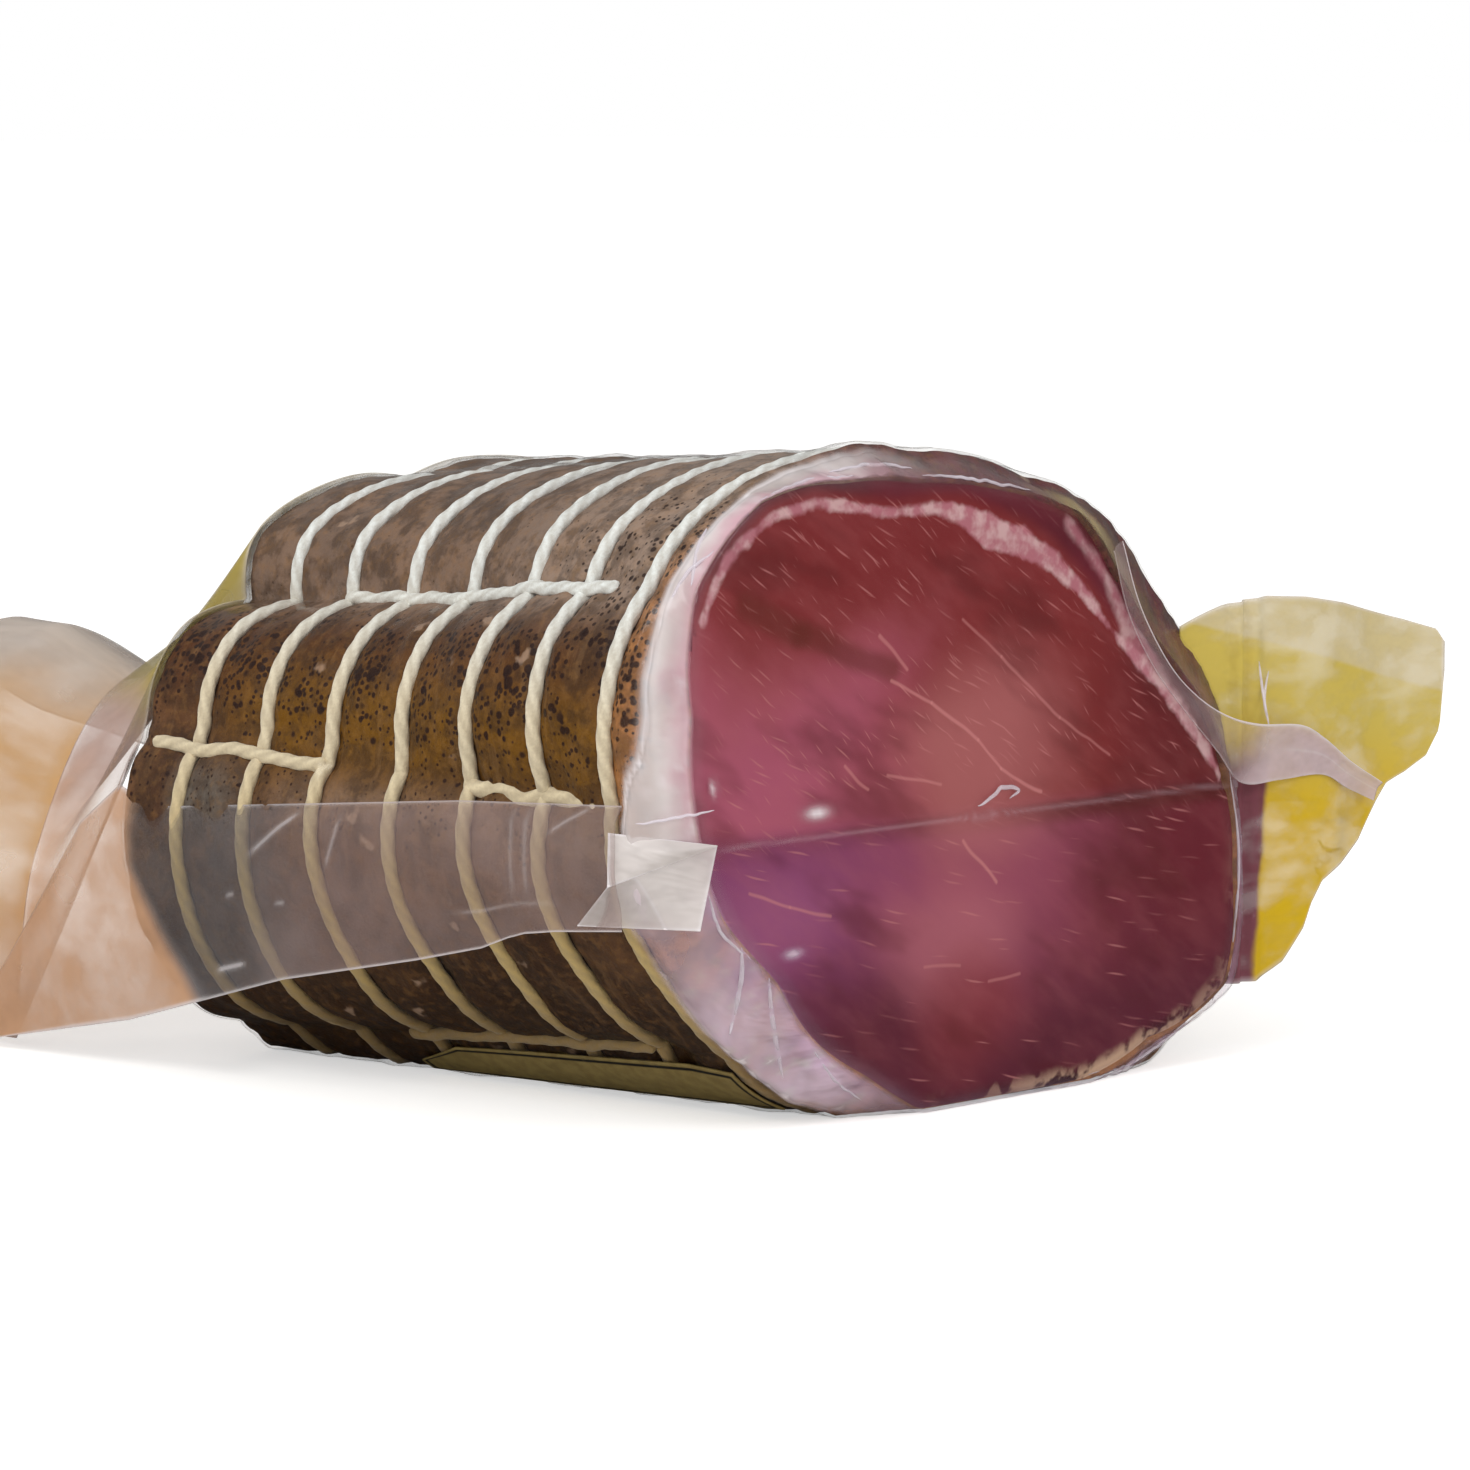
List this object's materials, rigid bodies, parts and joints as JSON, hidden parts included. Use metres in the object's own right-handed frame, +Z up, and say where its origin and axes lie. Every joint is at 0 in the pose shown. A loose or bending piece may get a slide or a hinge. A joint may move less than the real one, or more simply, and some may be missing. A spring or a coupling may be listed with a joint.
{
  "type": "vacuum-packed cured pork loin",
  "caption": "Cut piece of rolled, spice-crusted cured pork loin in a white elastic net, sealed in a clear vacuum bag with side fins and a loose mouth flap, with a label underneath.",
  "frame": {"origin": "middle of the flat that the pack rests on, under the middle of the loin", "axes": "+Z up, +Y along the loin from the cut towards the bag's mouth, so the cut looks to -Y"},
  "size_m": [0.1977, 0.2181, 0.1043],
  "materials": {
    "bag_film": "clear glossy film over a brown crust and a red cut",
    "label_paper": "matt printed paper",
    "cured_meat": "moist lean meat with a white fat seam and a rough spice crust",
    "net_cord": "twisted elastic cotton cord"
  },
  "bodies": {
    "root": {"sealed_bag": "bag_film", "label": "label_paper"}
  },
  "joints": []
}
